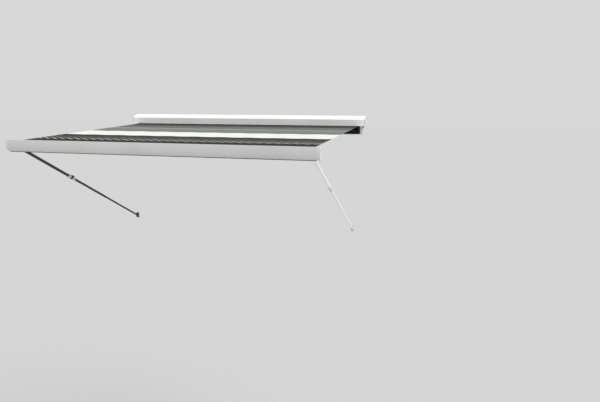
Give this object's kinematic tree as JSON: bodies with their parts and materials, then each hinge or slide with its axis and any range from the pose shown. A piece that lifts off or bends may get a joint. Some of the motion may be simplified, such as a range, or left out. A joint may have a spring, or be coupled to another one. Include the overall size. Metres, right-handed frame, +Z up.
{
  "type": "roll out awning",
  "caption": "Wall cased roll out awning with a cloth roller, folding spring arms, a lead rail and telescopic legs that stand on wall pads.",
  "frame": {"origin": "the middle of the case's back, on the wall plane, level with the middle wall plate's centre", "axes": "+X along the case to the right as seen from outside, +Y into the wall, +Z up"},
  "size_m": [3.4096, 2.5002, 1.517],
  "materials": {
    "white_paint": "smooth satin white powder coat",
    "mill_aluminium": "plain extruded and cast aluminium",
    "dark_anodised": "dark grey anodised aluminium",
    "white_plastic": "light moulded plastic",
    "steel": "zinc plated",
    "black_plastic": "black moulded plastic",
    "cloth": "coated awning cloth with cross stripes"
  },
  "bodies": {
    "case": {"wall_brackets": "steel", "back_profile": "dark_anodised", "case_floor": "white_paint", "hood": "white_paint", "end_cap_left": "white_plastic", "end_cap_right": "white_plastic", "case_screws": "steel", "roller_bearings": "black_plastic", "winch_housing": "black_plastic", "shoulder_brackets": "dark_anodised", "shoulder_pins": "steel", "leg_wall_pad_left": "black_plastic", "leg_wall_pad_right": "white_plastic", "fabric_sheet": "cloth"},
    "roller": {"roller_tube": "mill_aluminium", "roller_plug": "black_plastic", "worm_wheel": "steel", "fabric_roll": "cloth"},
    "winch_shaft": {"worm_shaft": "steel"},
    "rail": {"lead_rail": "white_paint", "rail_cap_left": "white_plastic", "rail_cap_right": "white_plastic", "rail_screws": "steel", "fabric_bead": "cloth", "wrist_bracket_left": "dark_anodised", "wrist_bracket_right": "dark_anodised", "wrist_pins": "steel", "leg_hinges": "mill_aluminium"},
    "upper_arm_left": {"upper_arm_tube_left": "dark_anodised", "shoulder_knuckle_left": "dark_anodised", "elbow_fork_left": "dark_anodised", "elbow_pin_left": "steel", "arm_spring_left": "steel"},
    "forearm_left": {"forearm_tube_left": "dark_anodised", "elbow_tongue_left": "dark_anodised", "wrist_knuckle_left": "dark_anodised", "elbow_cable_left": "black_plastic"},
    "leg_knuckle_left": {"leg_knuckle_left": "mill_aluminium"},
    "leg_outer_left": {"leg_outer_tube_left": "dark_anodised", "leg_collar_left": "white_plastic"},
    "leg_lever_left": {"clamp_lever_left": "black_plastic"},
    "leg_middle_left": {"leg_middle_tube_left": "dark_anodised"},
    "leg_inner_left": {"leg_inner_tube_left": "dark_anodised"},
    "leg_foot_left": {"leg_foot_left": "black_plastic"},
    "upper_arm_right": {"upper_arm_tube_right": "dark_anodised", "shoulder_knuckle_right": "dark_anodised", "elbow_fork_right": "dark_anodised", "elbow_pin_right": "steel", "arm_spring_right": "steel"},
    "forearm_right": {"forearm_tube_right": "dark_anodised", "elbow_tongue_right": "dark_anodised", "wrist_knuckle_right": "dark_anodised", "elbow_cable_right": "black_plastic"},
    "leg_knuckle_right": {"leg_knuckle_right": "mill_aluminium"},
    "leg_outer_right": {"leg_outer_tube_right": "white_paint", "leg_collar_right": "white_plastic"},
    "leg_lever_right": {"clamp_lever_right": "white_plastic"},
    "leg_middle_right": {"leg_middle_tube_right": "white_paint"},
    "leg_inner_right": {"leg_inner_tube_right": "white_paint"},
    "leg_foot_right": {"leg_foot_right": "white_plastic"}
  },
  "joints": [
    {"name": "shoulder_left", "type": "hinge", "parent": "case", "child": "upper_arm_left", "pos_m": [-1.49, -0.03638, -0.03545], "axis": [0, 0.0523, -0.9986], "range_deg": [-83, 0], "deforming": ["fabric_sheet"]},
    {"name": "elbow_left", "type": "hinge", "parent": "upper_arm_left", "child": "forearm_left", "pos_m": [-1.36577, -1.21669, -0.09731], "axis": [0, 0.0523, -0.9986], "range_deg": [0, 166.01]},
    {"name": "wrist_left", "type": "hinge", "parent": "forearm_left", "child": "rail", "pos_m": [-1.49, -2.397, -0.15916], "axis": [0, 0.0523, -0.9986], "range_deg": [-83.01, 0]},
    {"name": "shoulder_right", "type": "hinge", "parent": "case", "child": "upper_arm_right", "pos_m": [1.49, -0.03638, -0.03545], "axis": [0, 0.0523, -0.9986], "range_deg": [0, 83.01]},
    {"name": "elbow_right", "type": "hinge", "parent": "upper_arm_right", "child": "forearm_right", "pos_m": [1.36577, -1.21669, -0.09731], "axis": [0, 0.0523, -0.9986], "range_deg": [-166.01, 0]},
    {"name": "roller_spin", "type": "hinge", "parent": "case", "child": "roller", "pos_m": [0, -0.06405, 0.034], "axis": [-1, 0, 0], "range_deg": [-3154, 0]},
    {"name": "winch_spin", "type": "hinge", "parent": "case", "child": "winch_shaft", "pos_m": [1.623, -0.09655, 0.034], "axis": [0, 0, 1], "range_deg": [-75669, 0]},
    {"name": "leg_swing_left", "type": "hinge", "parent": "rail", "child": "leg_knuckle_left", "pos_m": [-1.565, -2.44, -0.18102], "axis": [1, 0, 0], "range_deg": [-64.12, 0]},
    {"name": "leg_fold_left", "type": "hinge", "parent": "leg_knuckle_left", "child": "leg_outer_left", "pos_m": [-1.56702, -2.41127, -0.19497], "axis": [0, 0.4368, 0.8995], "range_deg": [-93.62, 0]},
    {"name": "leg_middle_slide_left", "type": "slide", "parent": "leg_outer_left", "child": "leg_middle_left", "axis": [-0.0631, 0.8977, -0.436], "range_m": [-0.7, 0]},
    {"name": "leg_inner_slide_left", "type": "slide", "parent": "leg_middle_left", "child": "leg_inner_left", "axis": [-0.0631, 0.8977, -0.436], "range_m": [-0.83, 0]},
    {"name": "leg_foot_turn_left", "type": "hinge", "parent": "leg_inner_left", "child": "leg_foot_left", "pos_m": [-1.735, -0.0225, -1.355], "axis": [0.998, 0.0568, -0.0276], "range_deg": [-46, 0]},
    {"name": "leg_lever_turn_left", "type": "hinge", "parent": "leg_outer_left", "child": "leg_lever_left", "pos_m": [-1.6299, -1.50532, -0.6049], "axis": [-0.998, -0.0568, 0.0276], "range_deg": [0, 100]},
    {"name": "leg_swing_right", "type": "hinge", "parent": "rail", "child": "leg_knuckle_right", "pos_m": [1.545, -2.44, -0.18102], "axis": [1, 0, 0], "range_deg": [-64.12, 0]},
    {"name": "leg_fold_right", "type": "hinge", "parent": "leg_knuckle_right", "child": "leg_outer_right", "pos_m": [1.54437, -2.41122, -0.19499], "axis": [0, -0.4368, -0.8995], "range_deg": [-88.87, 0]},
    {"name": "leg_middle_slide_right", "type": "slide", "parent": "leg_outer_right", "child": "leg_middle_right", "axis": [-0.0197, 0.8994, -0.4367], "range_m": [-0.7, 0]},
    {"name": "leg_inner_slide_right", "type": "slide", "parent": "leg_middle_right", "child": "leg_inner_right", "axis": [-0.0197, 0.8994, -0.4367], "range_m": [-0.83, 0]},
    {"name": "leg_foot_turn_right", "type": "hinge", "parent": "leg_inner_right", "child": "leg_foot_right", "pos_m": [1.492, -0.0225, -1.355], "axis": [0.9998, 0.0177, -0.0086], "range_deg": [-46, 0]},
    {"name": "leg_lever_turn_right", "type": "hinge", "parent": "leg_outer_right", "child": "leg_lever_right", "pos_m": [1.52473, -1.50366, -0.60571], "axis": [-0.9998, -0.0177, 0.0086], "range_deg": [0, 100]}
  ],
  "couplings": [
    {"joint": "elbow_left", "follows": "shoulder_left", "ratio": -2},
    {"joint": "wrist_left", "follows": "shoulder_left", "ratio": 1},
    {"joint": "shoulder_right", "follows": "shoulder_left", "ratio": -1},
    {"joint": "elbow_right", "follows": "shoulder_left", "ratio": 2},
    {"joint": "roller_spin", "follows": "shoulder_left", "ratio": 37.981},
    {"joint": "winch_spin", "follows": "shoulder_left", "ratio": 911.54},
    {"joint": "leg_swing_left", "follows": "shoulder_left", "ratio": 0.77226},
    {"joint": "leg_swing_right", "follows": "shoulder_left", "ratio": 0.77226}
  ]
}
